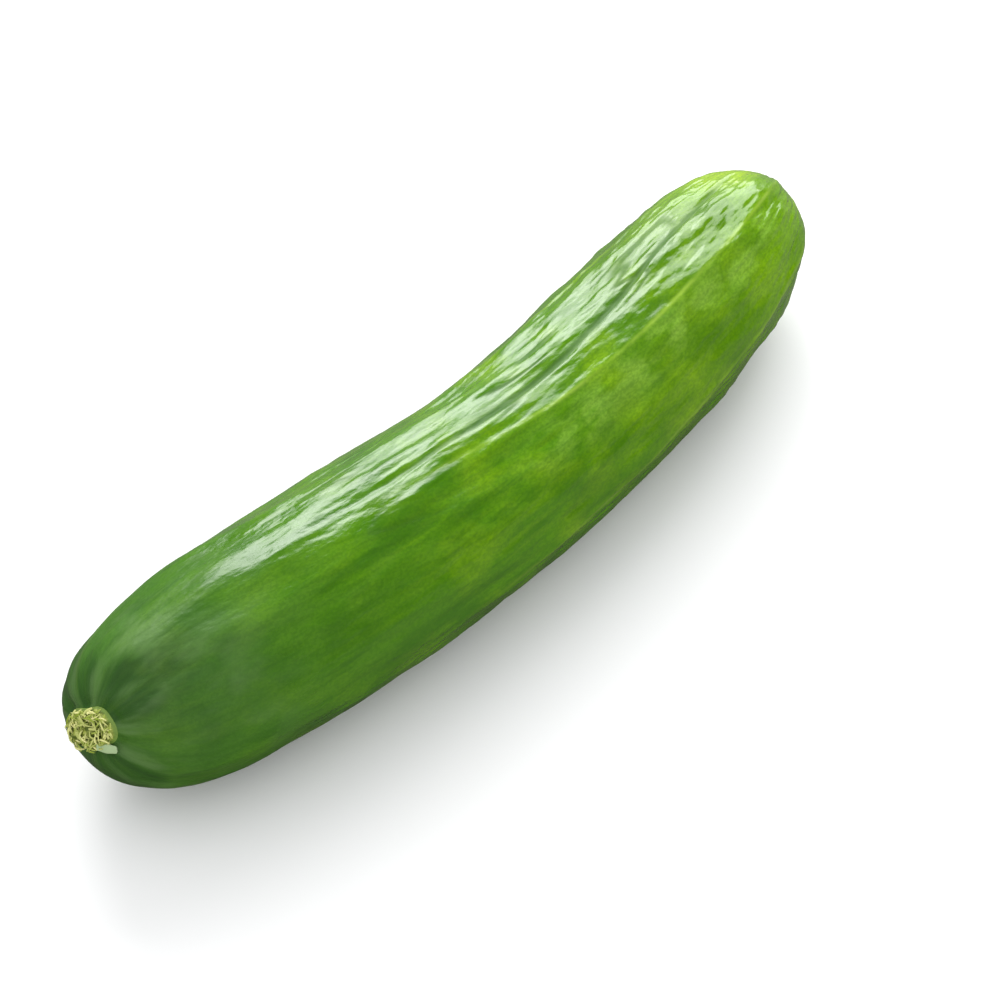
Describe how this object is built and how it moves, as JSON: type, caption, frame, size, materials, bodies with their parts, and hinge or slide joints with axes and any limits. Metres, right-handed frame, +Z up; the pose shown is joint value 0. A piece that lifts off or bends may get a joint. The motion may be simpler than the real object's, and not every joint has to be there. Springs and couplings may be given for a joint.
{
  "type": "cucumber",
  "caption": "whole smooth-skinned snack cucumber as picked, slightly bent with blunt ends, soft ribs, a torn stalk scar and a corky flower scar, lying on its belly",
  "frame": {"origin": "on the surface the fruit lies on, under the middle of its bounding box", "axes": "X runs along the fruit from the stalk end at -X to the flower end at +X; Z is up; the fruit bends in the level plane with its hollow side towards +Y"},
  "size_m": [0.1662, 0.0396, 0.0346],
  "materials": {
    "skin": "waxy gloss, deep green at the stalk end to yellow-green at the flower end"
  },
  "bodies": {
    "root": {"cucumber": "skin"}
  },
  "joints": []
}
